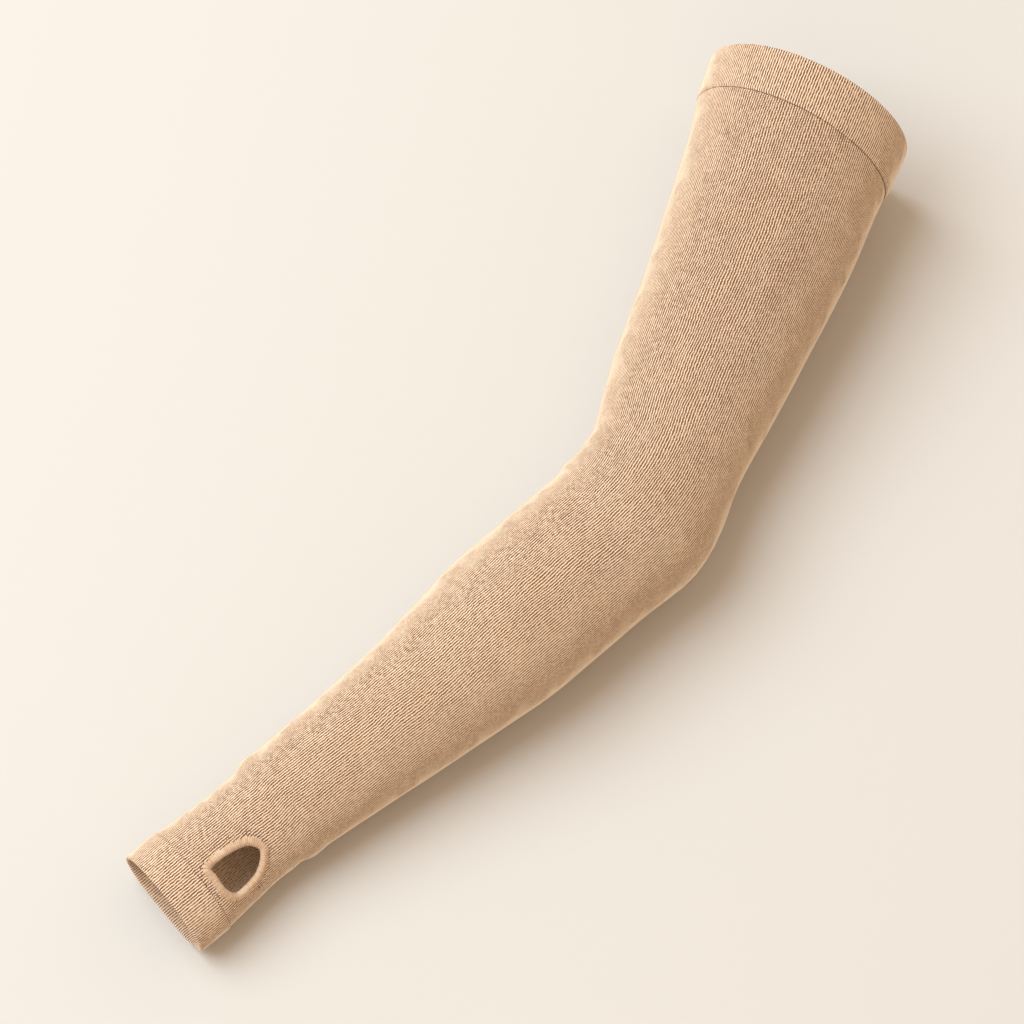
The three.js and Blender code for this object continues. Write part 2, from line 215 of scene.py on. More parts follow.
# Places of the tube's rows: steps along the arm from one to the next
SEAM_STEP = 0.5 * MM
HAND_STEP = 1.4 * MM
WRIST_STEP = 2 * MM
ARM_STEP = 5.5 * MM
ROUND_HOLE = 4 * MM  # close rows run on this far past the thumb hole

# How far round the hole its distance is stored
HOLE_FAR = 14.0  # millimetres, stored everywhere beyond
HOLE_REACH_ALONG = 28 * MM
HOLE_REACH_AROUND = 26 * MM

# The outline of the thumb hole. along: share of its length from the near edge.
# around: share of its width from its middle, towards the outer elbow.
HOLE_OUTLINE = [
    dict(along=0.0, around=-0.17),
    dict(along=0.0, around=0.2),
    dict(along=0.12, around=0.51),
    dict(along=0.36, around=0.55),
    dict(along=0.64, around=0.49),
    dict(along=0.87, around=0.27),
    dict(along=0.96, around=0.06),
    dict(along=0.84, around=-0.2),
    dict(along=0.52, around=-0.36),
    dict(along=0.22, around=-0.41),
    dict(along=0.0, around=-0.37),
]
HOLE_MIDDLE = THUMB_HOLE_START + THUMB_HOLE_LENGTH / 2


def smooth(value):
    share = np.clip(value, 0, 1)
    return share * share * (3 - 2 * share)


def distance(part, along):
    """Distance of a section from the hand rim."""
    if part == "forearm":
        return along * FOREARM
    if part == "elbow":
        return FOREARM + along * ELBOW
    return FOREARM + ELBOW + along * UPPER_ARM


PLACES = np.array([distance(row["part"], row["along"]) for row in SECTIONS])
WIDTHS = np.array([row["width"] * row["of"] for row in SECTIONS])
HEIGHTS = WIDTHS * [row["height"] for row in SECTIONS]
COLUMNS = {
    "half": WIDTHS / 2,
    "bow": WIDTHS * [row["bow"] for row in SECTIONS],
    "height": HEIGHTS,
    "widest": HEIGHTS * [row["widest"] for row in SECTIONS],
}


def column(name, s):
    """A smooth curve through one column of the sections."""
    values = COLUMNS[name]
    last = len(PLACES) - 1
    upper = np.clip(np.searchsorted(PLACES, s, side="right"), 1, last)
    lower = upper - 1
    before = np.maximum(lower - 1, 0)
    after = np.minimum(upper + 1, last)
    span = PLACES[upper] - PLACES[lower]
    u = np.clip((s - PLACES[lower]) / span, 0, 1)
    start = (values[upper] - values[before]) / (PLACES[upper] - PLACES[before]) * span
    end = (values[after] - values[lower]) / (PLACES[after] - PLACES[lower]) * span
    rise = values[upper] - values[lower]
    return (
        values[lower] + u * start + u**2 * (3 * rise - 2 * start - end) + u**3 * (start + end - 2 * rise)
    )


def lift(s):
    """How far the tube rises from the table to lie on its thicker bands."""
    over_hem = (HEM_LAYER + GAP) * smooth(1 - (s - HAND_HEM_LENGTH) / LIFT_LENGTH)
    over_cuff = (CUFF_LAYER + GAP) * smooth(1 - (CUFF_SEAM - s) / LIFT_LENGTH)
    return over_hem + over_cuff


def ridge(s):
    share = (s - HAND_LENGTH) / RIDGE_LENGTH
    height = np.where(share < 0, smooth(1 + share * RIDGE_RISE), smooth(1 - share * RIDGE_FALL))
    return RIDGE_HEIGHT * height


def slant(s):
    """How far the knit runs ahead for each metre towards the inner side."""
    to_seam = smooth(1 - (CUFF_SEAM - s) / SLANT_LENGTH)
    to_rim = smooth((s - CUFF_SEAM) / UPPER_CUFF_LENGTH)
    return np.tan(CUFF_SEAM_SLANT * to_seam + (UPPER_RIM_SLANT - CUFF_SEAM_SLANT) * to_rim)


def middle(s):
    """Points of the middle of the arm on the table, and the direction of the arm there."""
    turned = np.clip((s - FOREARM) / ELBOW_RADIUS, 0, ELBOW_BEND)
    first = np.minimum(s, FOREARM)
    last = np.maximum(s - FOREARM - ELBOW, 0)
    x = first + ELBOW_RADIUS * np.sin(turned) + last * math.cos(ELBOW_BEND)
    y = ELBOW_RADIUS * (1 - np.cos(turned)) + last * math.sin(ELBOW_BEND)
    cos, sin = math.cos(FOREARM_HEADING), math.sin(FOREARM_HEADING)
    return x * cos - y * sin, x * sin + y * cos, FOREARM_HEADING + turned


def on_knit(s, turn, base, offset):
    """Points of the knit. turn: angle from the top towards the outer elbow. base: -1 to 1 across
    the flat base, 0 on the upper half. offset: distance out from the outer face of the tube."""
    half, bow, height, widest = (column(name, s) for name in ("half", "bow", "height", "widest"))
    up, out = np.cos(turn), np.sin(turn)
    rise = np.where(up > 0, height - widest, widest)
    flat = BASE_FLAT * half
    reach = np.where(base == 0, half, half - flat)
    normal_out, normal_up = out / reach, up / rise
    length = np.hypot(normal_out, normal_up)
    swell = offset + ridge(s) * smooth((up + 1) / RIDGE_BASE_FADE)
    side = reach * out + base * flat + normal_out / length * swell
    z = widest + rise * up + normal_up / length * swell + lift(s)
    x, y, heading = middle(s)
    across = bow - side
    forward = slant(s) * across
    return np.stack(
        [
            x + forward * np.cos(heading) - across * np.sin(heading),
            y + forward * np.sin(heading) + across * np.cos(heading),
            z,
        ],
        axis=-1,
    )


ARC_STEPS = 48
HALF_TURNS = np.concatenate(
    [
        np.linspace(0, math.pi / 2, ARC_STEPS),
        np.linspace(math.pi / 2, math.pi, ARC_STEPS),
        [math.pi, math.pi],
    ]
)
HALF_BASES = np.concatenate([np.zeros(ARC_STEPS), np.ones(ARC_STEPS), [0.5, 0.0]])


def half_outline(s):
    """Distances from the crown of the section at s, along its outer half."""
    points = on_knit(np.full(len(HALF_TURNS), s), HALF_TURNS, HALF_BASES, 0.0)
    steps = np.linalg.norm(np.diff(points, axis=0), axis=1)
    return np.concatenate([[0], np.cumsum(steps)])


def around_to_turn(s, around):
    """Turns and bases of the points at these distances round from the crown, towards the outer elbow."""
    reached = half_outline(s)
    far = np.minimum(np.abs(around), reached[-1])
    turn = np.interp(far, reached, HALF_TURNS) * np.sign(around)
    base = np.interp(far, reached, HALF_BASES) * np.sign(around)
    return turn, base


def wale_pitch(s):
    return np.interp(
        s / TOTAL, [row["along"] for row in WALE_PITCHES], [row["pitch"] for row in WALE_PITCHES]
    )


def ripples(seed, shortest, longest, count=10):
    """A smooth uneven field over the knit, from about -1 to 1, made of waves of these lengths."""
    random = np.random.default_rng(seed)
    lengths = np.geomspace(shortest, longest, count)
    angles = random.uniform(0, math.tau, count)
    phases = random.uniform(0, math.tau, count)

    def field(s, around):
        total = 0
        for length, angle, phase in zip(lengths, angles, phases):
            ahead = s * math.cos(angle) + around * math.sin(angle)
            total = total + np.sin(math.tau * ahead / length + phase)
        return total / math.sqrt(count)

    return field


uneven = ripples(seed=3, shortest=30 * MM, longest=110 * MM)
wander = ripples(seed=5, shortest=15 * MM, longest=50 * MM)
depth_change = ripples(seed=11, shortest=6 * MM, longest=30 * MM)


def band_swell(s):
    """The tube swells before each band and then tucks in under it."""
    before_cuff = CUFF_SEAM - s
    before_hem = s - HAND_HEM_LENGTH
    swell = 0
    for before, height in ((before_cuff, CUFF_SWELL), (before_hem, HEM_SWELL)):
        swell = swell + height * smooth(1 - before / SWELL_LENGTH) * smooth(before / TUCK_LENGTH)
    return swell


def soft_seam(s, around):
    """0 where a band's seam is a line, up to 1 where it has softened."""
    return smooth(around / SOFT_SEAM_END) if s > TOTAL / 2 else 0.0


def away_from_table(turn):
    """1 on the upper part of the knit, and 0 where it nears the table."""
    return smooth((np.cos(turn) - EVEN_BELOW) / EVEN_FADE)


def relief(s, around, turn, wale, depth):
    """How far the knit lies in from its even outer face: grooves, soft unevenness and the wrist fold."""
    groove = 0.5 - 0.5 * np.cos(math.tau * wale)
    strength = 1 + DEPTH_CHANGE * depth_change(s, around)
    soft = UNEVEN_DEPTH * (0.5 - 0.5 * np.clip(uneven(s, around), -1, 1))
    fold = WRIST_FOLD_DEPTH * math.exp(-(((s - WRIST_FOLD) / WRIST_FOLD_LENGTH) ** 2))
    return groove * depth * strength + (soft + fold) * away_from_table(turn)


class Surface:
    """Points and faces of one piece, with the place of every face corner on the knit."""

    def __init__(self):
        self.points = []
        self.faces = []
        self.places = []

    def add_points(self, points):
        first = len(self.points)
        self.points.extend(points.tolist())
        return first

    def add_face(self, corners, places):
        """Adds a face, leaving out corners that repeat."""
        kept = [k for k, corner in enumerate(corners) if corner != corners[k - 1]]
        if len(kept) < 3:
            return
        self.faces.append([corners[k] for k in kept])
        self.places.extend(places[k] for k in kept)

    def make(self, name):
        mesh = bpy.data.meshes.new(name)
        mesh.from_pydata(self.points, [], self.faces)
        layer = mesh.uv_layers.new(name="knit")
        layer.data.foreach_set("uv", np.array(self.places, np.float32).ravel())
        face_out(mesh)
        mesh.polygons.foreach_set("use_smooth", np.ones(len(mesh.polygons), bool))
        piece = bpy.data.objects.new(name, mesh)
        bpy.context.scene.collection.objects.link(piece)
        return piece


def face_out(mesh):
    work = bmesh.new()
    work.from_mesh(mesh)
    bmesh.ops.recalc_face_normals(work, faces=work.faces)
    work.to_mesh(mesh)
    work.free()


def tube_rows():
    """Distances along the arm, close together at the hole, the ridge and the bands."""
    start = HAND_HEM_LENGTH - SEAM_LAP
    end = CUFF_SEAM + SEAM_LAP
    hole_end = THUMB_HOLE_START + THUMB_HOLE_LENGTH + ROUND_HOLE
    ridge_end = HAND_LENGTH + RIDGE_LENGTH
    stretches = [
        (start, HAND_HEM_LENGTH - TUCK_LENGTH, HAND_STEP),
        (HAND_HEM_LENGTH - TUCK_LENGTH, HAND_HEM_LENGTH + 2 * TUCK_LENGTH, SEAM_STEP),
        (HAND_HEM_LENGTH + 2 * TUCK_LENGTH, hole_end, HAND_STEP),
        (hole_end, ridge_end, WRIST_STEP),
        (ridge_end, CUFF_SEAM - SWELL_LENGTH, ARM_STEP),
        (CUFF_SEAM - SWELL_LENGTH, CUFF_SEAM - 2 * TUCK_LENGTH, WRIST_STEP),
        (CUFF_SEAM - 2 * TUCK_LENGTH, CUFF_SEAM + TUCK_LENGTH, SEAM_STEP),
        (CUFF_SEAM + TUCK_LENGTH, end, HAND_STEP),
    ]
    rows = []
    for low, high, step in stretches:
        count = max(int(round((high - low) / step)), 1)
        rows.extend(np.linspace(low, high, count, endpoint=False))
    return np.array(rows + [end])


def knitted_sheet(surface, rows, every, face_offset, wavy):
    """One face of the tube's wall. every: samples of a wale from one column to the next. wavy: whether
    it has wales. Returns the vertices of its first and last rows, each with its wale."""
    widest_count = max(half_outline(s)[-1] / wale_pitch(s) for s in rows)
    reach = int(math.ceil(widest_count * SAMPLES_PER_WALE / every)) + 1
    wales = np.arange(-reach, reach + 1) * every / SAMPLES_PER_WALE
    ids, places = [], []
    for s in rows:
        pitch = wale_pitch(s)
        half_round = half_outline(s)[-1]
        around = wales * pitch
        sideways = WANDER * wander(s, around) * smooth((half_round - np.abs(around)) / WANDER_FADE)
        room = LAST_COLUMN_ROOM * pitch * every / SAMPLES_PER_WALE
        kept = np.nonzero(np.abs(around) < half_round - room)[0]
        around_kept = around[kept] + sideways[kept]
        turn, base = around_to_turn(s, around_kept)
        offset = np.full(len(kept), face_offset)
        if wavy:
            calm = 1 - SOFT_SEAM_CALM * soft_seam(s, around_kept)
            offset += band_swell(s) * calm * away_from_table(turn)
            offset -= relief(s, around_kept, turn, wales[kept], WALE_DEPTH)
        else:
            offset -= UNEVEN_DEPTH * 0.5 * away_from_table(turn)
        first = surface.add_points(on_knit(np.full(len(kept), s), turn, base, offset))
        bottom = surface.add_points(on_knit(np.array([s]), np.array([math.pi]), np.zeros(1), face_offset))
        row = np.full(len(wales), bottom)
        row[kept] = first + np.arange(len(kept))
        ids.append(row)
        limit = half_round / pitch
        marked = 0 if wavy else INSIDE_MARK
        places.append([(s / MM, float(w) + marked) for w in np.clip(wales, -limit, limit)])
    for i in range(len(rows) - 1):
        for j in range(len(wales) - 1):
            corners = [ids[i][j], ids[i][j + 1], ids[i + 1][j + 1], ids[i + 1][j]]
            if len(set(corners)) < 3:
                continue
            here, following = places[i], places[i + 1]
            surface.add_face(corners, [here[j], here[j + 1], following[j + 1], following[j]])
    return [(list(ids[k]), places[k]) for k in (0, -1)]


def join_ends(surface, outer, inner):
    """Triangles between the end rows of the tube's two faces, taken by their wales."""
    (outer_ids, outer_places), (inner_ids, inner_places) = outer, inner
    a, b = 0, 0
    while a < len(outer_ids) - 1 or b < len(inner_ids) - 1:
        next_outer = outer_places[a + 1][1] if a < len(outer_ids) - 1 else math.inf
        next_inner = inner_places[b + 1][1] - INSIDE_MARK if b < len(inner_ids) - 1 else math.inf
        if next_outer <= next_inner:
            corners = [outer_ids[a], outer_ids[a + 1], inner_ids[b]]
            places = [outer_places[a], outer_places[a + 1], inner_places[b]]
            a += 1
        else:
            corners = [outer_ids[a], inner_ids[b + 1], inner_ids[b]]
            places = [outer_places[a], inner_places[b + 1], inner_places[b]]
            b += 1
        surface.add_face(corners, places)


def trimmed(row):
    """An end row with each of its two runs of bottom vertices cut to one."""
    ids, places = row
    bottom = ids[0]
    inside = [k for k, vertex in enumerate(ids) if vertex != bottom]
    kept = [inside[0] - 1, *inside, inside[-1] + 1]
    return [ids[k] for k in kept], [places[k] for k in kept]


def hole_outline(grown, count):
    """The outline of the thumb hole on the knit, moved out from its edge by a distance, as
    distances along the arm and round from the middle of the hole."""
    size = np.array([THUMB_HOLE_LENGTH, THUMB_HOLE_WIDTH])
    knots = np.array([(row["along"] - 0.5, row["around"]) for row in HOLE_OUTLINE]) * size
    curve = closed_curve(knots, count)
    tangent = np.roll(curve, -1, axis=0) - np.roll(curve, 1, axis=0)
    tangent /= np.linalg.norm(tangent, axis=1)[:, None]
    return HOLE_MIDDLE + curve[:, 0] - tangent[:, 1] * grown, curve[:, 1] + tangent[:, 0] * grown


CURVE_STEPS = 24  # from one knot of a closed curve to the next, before it is spaced evenly


def closed_curve(knots, count):
    """Evenly spaced points of a closed centripetal Catmull-Rom curve."""
    fine = []
    steps = np.linspace(0, 1, CURVE_STEPS, endpoint=False)[:, None]
    for k in range(len(knots)):
        before, start, end, after = (knots[(k + shift) % len(knots)] for shift in (-1, 0, 1, 2))
        sides = ((before, start), (start, end), (end, after))
        first, span, last = (math.sqrt(np.linalg.norm(high - low)) for low, high in sides)
        leave = end - start + span * ((start - before) / first - (end - before) / (first + span))
        arrive = end - start + span * ((after - end) / last - (after - start) / (span + last))
        fine.append(
            start
            + leave * steps
            + (3 * (end - start) - 2 * leave - arrive) * steps**2
            + (2 * (start - end) + leave + arrive) * steps**3
        )
    fine = np.concatenate(fine + [knots[:1]])
    reached = np.concatenate([[0], np.cumsum(np.linalg.norm(np.diff(fine, axis=0), axis=1))])
    wanted = np.linspace(0, reached[-1], count, endpoint=False)
    return np.stack([np.interp(wanted, reached, fine[:, k]) for k in (0, 1)], axis=1)


def near_hole(s, around, offset):
    """Points of the knit by their distance round from the middle line of the thumb hole."""
    turn = THUMB_HOLE_TURN + around / column("half", s)
    return on_knit(s, turn, np.zeros_like(turn), offset)


def hole_plug():
    """The plug that the thumb hole is cut with."""
    count = 192
    ends = (2 * WALL, -3 * WALL)
    s, around = hole_outline(0, count)
    middle_s = np.array([HOLE_MIDDLE])
    surface = Surface()
    rings = [surface.add_points(near_hole(s, around, offset)) for offset in ends]
    caps = [surface.add_points(near_hole(middle_s, np.zeros(1), offset)) for offset in ends]
    blank = [(0.0, 0.0)] * 4
    for k in range(count):
        after = (k + 1) % count
        surface.add_face([rings[0] + k, rings[1] + k, rings[1] + after, rings[0] + after], blank)
        for ring, cap in zip(rings, caps):
            surface.add_face([ring + k, ring + after, cap], blank[:3])
    return surface.make("hole_plug")


def cut_hole(piece):
    plug = hole_plug()
    cut = piece.modifiers.new("hole", "BOOLEAN")
    cut.operation = "DIFFERENCE"
    cut.solver = "MANIFOLD"
    cut.object = plug
    apply_modifiers(piece)
    bpy.data.objects.remove(plug)


def apply_modifiers(piece):
    graph = bpy.context.evaluated_depsgraph_get()
    finished = bpy.data.meshes.new_from_object(piece.evaluated_get(graph), depsgraph=graph)
    piece.modifiers.clear()
    piece.data = finished


def make_tube():
    surface = Surface()
    rows = tube_rows()
    outer = knitted_sheet(surface, rows, every=1, face_offset=0.0, wavy=True)
    inner_rows = np.concatenate([rows[:-1:2], rows[-1:]])
    inner = knitted_sheet(surface, inner_rows, every=SAMPLES_PER_WALE, face_offset=-WALL, wavy=False)
    for outer_row, inner_row in zip(outer, inner):
        join_ends(surface, trimmed(outer_row), trimmed(inner_row))
    tube = surface.make("sleeve_knit")
    cut_hole(tube)
    return tube


def rolled_profile(rim, seam, tube_end, layer, thickness):
    """A band's profile as (distance along the arm, offset, share of the wales' depth), a closed loop."""
    outwards = math.copysign(1, rim - seam)
    outer = GAP + layer
    inner = outer - thickness
    radius = thickness / 2
    centre = (outer + inner) / 2
    stop = tube_end + outwards * GAP
    near_rim = rim - outwards * radius
    rows = []
    for angle in np.radians([180, 160, 140, 115, 90]):
        s = seam + outwards * SEAM_ROUND * layer * (1 + math.cos(angle))
        rows.append((s, outer - SEAM_FALL * layer * (1 - math.sin(angle)), SEAM_WALES))
    for s in np.linspace(seam + outwards * BAND_FLAT_START, near_rim, BAND_OUTER_ROWS):
        rows.append((s, outer, 1.0))
    for angle in np.radians([65, 40, 20, 0, -20, -40, -65]):
        s = near_rim + outwards * radius * math.cos(angle)
        rows.append((s, centre + radius * math.sin(angle), RIM_WALES))
    for s in np.linspace(near_rim, stop, BAND_INNER_ROWS):
        rows.append((s, inner, 1.0))
    rows.append((stop, GAP, 0.0))
    rows.append((seam + outwards * SEAM_INSET * layer, GAP, 0.0))
    return rows


def join_rings(surface, starts, columns, place):
    """Faces from each ring of points to the next, round a closed profile. starts: the first point of
    each ring. place: gives a corner's place on the knit from its ring and column."""
    for i, start in enumerate(starts):
        following = starts[(i + 1) % len(starts)]
        for j in range(columns):
            k = (j + 1) % columns
            surface.add_face(
                [start + j, following + j, following + k, start + k],
                [place(i, j), place(i + 1, j), place(i + 1, j + 1), place(i, j + 1)],
            )


def make_band(name, rim, seam, tube_end, layer, thickness):
    """A doubled band with real wales, swept round the arm."""
    profile = rolled_profile(rim, seam, tube_end, layer, thickness)
    middle_s = (rim + seam) / 2
    wale_count = round(2 * half_outline(middle_s)[-1] / wale_pitch(middle_s))
    columns = wale_count * SAMPLES_PER_WALE
    shares = np.arange(columns) / columns - 0.5
    wales = shares * wale_count
    centre = GAP + layer - thickness / 2
    surface = Surface()
    starts = []
    for s, offset, share in profile:
        around = shares * 2 * half_outline(s)[-1]
        turn, base = around_to_turn(s, around)
        dent = relief(s, around, turn, wales, BAND_WALE_DEPTH * share)
        facing = np.sign(offset - centre) if share else 0
        side = np.full(columns, offset) - facing * dent
        if facing > 0:
            slope = smooth(1 - abs(s - seam) / SOFT_SEAM_LENGTH)
            side = np.maximum(side - SOFT_SEAM_FALL * slope * soft_seam(s, around), SEAM_EDGE)
        starts.append(surface.add_points(on_knit(np.full(columns, s), turn, base, side)))

    def place(i, j):
        return profile[i % len(profile)][0] / MM, (j / columns - 0.5) * wale_count

    join_rings(surface, starts, columns, place)
    return surface.make(name)


def make_binding():
    """The roll of overcast stitches that grips the edge of the thumb hole."""
    floor = -WALL - GAP
    knots = np.array(
        [
            (BINDING_WIDTH, 0.5 * GAP),
            (0.9 * BINDING_WIDTH, 0.3 * BINDING_RISE),
            (0.55 * BINDING_WIDTH, 0.66 * BINDING_RISE),
            (0.1 * BINDING_WIDTH, 0.8 * BINDING_RISE),
            (-0.75 * BINDING_INSIDE, 0.3 * BINDING_RISE),
            (-BINDING_INSIDE, -WALL / 2),
            (-0.8 * BINDING_INSIDE, floor - 0.4 * BINDING_DEPTH),
            (0.1 * BINDING_WIDTH, floor - 0.95 * BINDING_DEPTH),
            (0.5 * BINDING_WIDTH, floor - 0.7 * BINDING_DEPTH),
            (0.7 * BINDING_WIDTH, floor),
            (0.0, floor),
            (-GAP, -WALL / 2),
            (0.0, GAP),
        ]
    )
    shown = 10  # knots of the part with stitches, and the rest lies against the knit
    heart = (0.3 * BINDING_WIDTH, floor / 2)  # a point inside the roll
    columns = STITCHES * SAMPLES_PER_STITCH
    random = np.random.default_rng(seed=17)
    plumpness = random.uniform(0.6, 1.2, STITCHES)
    lengths = random.uniform(-0.5, 0.3, STITCHES) * MM
    count = np.arange(columns) / SAMPLES_PER_STITCH
    stitch = count.astype(int) % STITCHES
    across = np.abs(np.sin(math.pi * count)) ** STITCH_ROUNDNESS
    profile = smooth_profile(knots[:shown], steps=3)
    surface = Surface()
    starts = []
    for k, (out, rise) in enumerate(profile):
        ahead, behind = profile[min(k + 1, len(profile) - 1)], profile[max(k - 1, 0)]
        along = ahead - behind
        normal = np.array([-along[1], along[0]]) / np.linalg.norm(along)
        if np.dot(normal, [out - heart[0], rise - heart[1]]) < 0:
            normal = -normal
        push = STITCH_RELIEF * (across * plumpness[stitch] - 1)
        share = k / (len(profile) - 1)
        lengthen = lengths[stitch] * smooth(1 - share / STITCH_FOOT)
        moved_out = out + normal[0] * push + lengthen
        moved_up = rise + normal[1] * push
        starts.append(ring_round_hole(surface, columns, moved_out, moved_up))
    for out, rise in knots[shown:]:
        starts.append(ring_round_hole(surface, columns, np.full(columns, out), np.full(columns, rise)))
    join_rings(surface, starts, columns, lambda i, j: (i, j / SAMPLES_PER_STITCH))
    return surface.make("thumb_roll")


def smooth_profile(knots, steps):
    """Points of a smooth open curve through the knots."""
    ends = [2 * knots[0] - knots[1], *knots, 2 * knots[-1] - knots[-2]]
    points = []
    for before, start, end, after in zip(ends, ends[1:], ends[2:], ends[3:]):
        for u in np.arange(steps) / steps:
            twice = (
                2 * start
                + (end - before) * u
                + (2 * before - 5 * start + 4 * end - after) * u**2
                + (3 * start - before - 3 * end + after) * u**3
            )
            points.append(0.5 * twice)
    return points + [knots[-1]]


def ring_round_hole(surface, columns, out, rise):
    """Adds points round the thumb hole: out from its edge, and above the knit."""
    s_edge, around_edge = hole_outline(0, columns)
    s_one, around_one = hole_outline(1 * MM, columns)
    s = s_edge + (s_one - s_edge) * out / MM
    around = around_edge + (around_one - around_edge) * out / MM
    return surface.add_points(near_hole(s, around, rise))


def mark_hole(piece):
    """Stores how far each vertex of the tube lies from the edge of the thumb hole, in millimetres,
    and beside which overcast stitch."""
    mesh = piece.data
    corners = np.empty(len(mesh.loops), np.int32)
    mesh.loops.foreach_get("vertex_index", corners)
    places = np.empty(2 * len(mesh.loops), np.float32)
    mesh.uv_layers["knit"].data.foreach_get("uv", places)
    places = places.reshape(-1, 2)
    at = np.zeros((len(mesh.vertices), 2))
    at[corners] = places
    s = at[:, 0] * MM
    around = at[:, 1] * wale_pitch(s)
    hole_s, hole_around = hole_outline(0, SAMPLES_PER_STITCH * STITCHES)
    hole_around = hole_around + THUMB_HOLE_TURN * column("half", hole_s)
    distance_out = np.full(len(s), HOLE_FAR)
    stitch = np.zeros(len(s))
    beside = np.abs(s - HOLE_MIDDLE) < HOLE_REACH_ALONG
    near = np.nonzero(beside & (np.abs(around - hole_around.mean()) < HOLE_REACH_AROUND))[0]
    gaps = np.hypot(s[near, None] - hole_s, around[near, None] - hole_around)
    nearest = gaps.argmin(axis=1)
    distance_out[near] = np.minimum(gaps[np.arange(len(near)), nearest] / MM, HOLE_FAR)
    stitch[near] = nearest / SAMPLES_PER_STITCH
    for name, values in (("hole_out", distance_out), ("hole_stitch", stitch)):
        layer = mesh.attributes.new(name, "FLOAT", "POINT")
        layer.data.foreach_set("value", values.astype(np.float32))


class Shader:
    """The nodes of one material, written as sums of sockets and numbers."""

    def __init__(self, name):
        self.material = bpy.data.materials.new(name)
        self.material.use_nodes = True
        self.tree = self.material.node_tree
        self.surface = self.tree.nodes["Principled BSDF"]

    def node(self, kind, **settings):
        made = self.tree.nodes.new(kind)
        for name, value in settings.items():
            setattr(made, name, value)
        return made

    def feed(self, socket, value):
        if isinstance(value, bpy.types.NodeSocket):
            self.tree.links.new(value, socket)
        else:
            socket.default_value = value

    def math(self, operation, *values):
        made = self.node("ShaderNodeMath", operation=operation)
        for socket, value in zip(made.inputs, values):
            self.feed(socket, value)
        return made.outputs[0]

    def add(self, a, b):
        return self.math("ADD", a, b)

    def times(self, a, b):
        return self.math("MULTIPLY", a, b)

    def wave(self, turns):
        """A cosine from 0 to 1 that is 1 at whole numbers."""
        return self.add(self.times(self.math("COSINE", self.times(turns, math.tau)), 0.5), 0.5)

    def ramp(self, value, low, high, to_low=0.0, to_high=1.0):
        made = self.node("ShaderNodeMapRange", interpolation_type="SMOOTHSTEP")
        for socket, given in zip(made.inputs, (value, low, high, to_low, to_high)):
            self.feed(socket, given)
        return made.outputs[0]

    def noise(self, x, y, scale=(1.0, 1.0), detail=1.0):
        """A smooth uneven value from 0 to 1 over two numbers. scale: how fast it changes with each."""
        place = self.node("ShaderNodeCombineXYZ")
        self.feed(place.inputs[0], self.times(x, scale[0]))
        self.feed(place.inputs[1], self.times(y, scale[1]))
        made = self.node("ShaderNodeTexNoise", noise_dimensions="2D")
        self.feed(made.inputs["Vector"], place.outputs[0])
        made.inputs["Scale"].default_value = 1.0
        made.inputs["Detail"].default_value = detail
        return made.outputs["Fac"]

    def mix(self, share, a, b):
        made = self.node("ShaderNodeMix", data_type="RGBA")
        for socket, value in ((made.inputs[0], share), (made.inputs[6], a), (made.inputs[7], b)):
            self.feed(socket, value)
        return made.outputs[2]

    def attribute(self, name):
        return self.node("ShaderNodeAttribute", attribute_name=name).outputs["Fac"]

    def bump(self, height, distance):
        made = self.node("ShaderNodeBump")
        made.inputs["Strength"].default_value = 1.0
        made.inputs["Distance"].default_value = distance
        self.feed(made.inputs["Height"], height)
        self.feed(self.surface.inputs["Normal"], made.outputs[0])

    def finish(self, **values):
        for name, value in values.items():
            self.feed(self.surface.inputs[name.replace("_", " ")], value)
        return self.material


# Linear colours of the knit and the thread, with painted highlight and painted shade among them
KNIT_BASE = (0.88, 0.562, 0.36, 1)
# Pale tone of the knit's blotches, and the painted highlight on its crests
KNIT_PALE_TONE_AND_HIGHLIGHT = (1.0, 0.84, 0.645, 1)
# Painted shade in the grooves and in the stitch holes
KNIT_RECESS_SHADE = (0.2, 0.06, 0.01, 1)
# The inner face, painted much paler than the outer: painted light standing in for light through the thin knit
INSIDE_PAINTED_LIGHT_BASE = (1.0, 0.91, 0.77, 1)
# Painted shade in the inner face's grooves
INSIDE_GROOVE_SHADE = (0.58, 0.3, 0.12, 1)
THREAD_LIGHT = (0.73, 0.52, 0.36, 1)
# Dark tone of some stitches, and painted shade in the gaps between stitches
THREAD_DEEP_TONE_AND_GAP_SHADE = (0.31, 0.17, 0.085, 1)
THREAD_PALE = (0.78, 0.61, 0.46, 1)
SHEEN_TINT = (1.0, 0.88, 0.76, 1)

# The knit is loose round its crown and even at its sides
HAND_SIDE_WALES = 24  # from the crown to the side of the hand
SIDE_WALES_PER_MM = 0.045  # and so many more for each millimetre up the arm
LOOSE_WITHIN = 0.4  # of the way to the side
EVEN_BEYOND = 0.8
WAVER = 0.5  # in wales, how far a loose wale wavers
WAVER_SCALE = (0.6, 0.4)  # of its noise, for each millimetre along the arm and each wale

# Dashes along the wales: painted highlight on the crests and painted shade in the grooves, over blotches
# of the knit's own tone. Each ramp turns smooth noise into strength.
CREST = dict(low=0.2, high=0.8)
DASH_LENGTH = 1.8  # millimetres
CREST_STRIDE = 11.3  # from one wale to the next in the noise, so that neighbours differ
FURROW_STRIDE = 7.7
FURROW_START = 90.0
HIGHLIGHT_DASHES = dict(low=0.3, high=0.65, to_low=0.7, to_high=1.0)
GROOVE_SHADE_DASHES = dict(low=0.35, high=0.62, to_low=0.6, to_high=1.15)
BLOTCHES = dict(low=0.35, high=0.65, to_low=0.0, to_high=0.2)
BLOTCH_SCALE = (0.02, 0.03)
CREST_HIGHLIGHT_SHARE = 0.9  # of the pale colour, as painted highlight, on a full crest
SIDE_GROOVE_SHADE_SHARE = 0.8  # of the groove colour, as painted shade, at the even sides
LOOSE_GROOVE_SHADE_SHARE = 0.15  # and so much more where the knit is loose
INSIDE_GROOVE_SHADE_SHARE = 0.8  # on the inner face
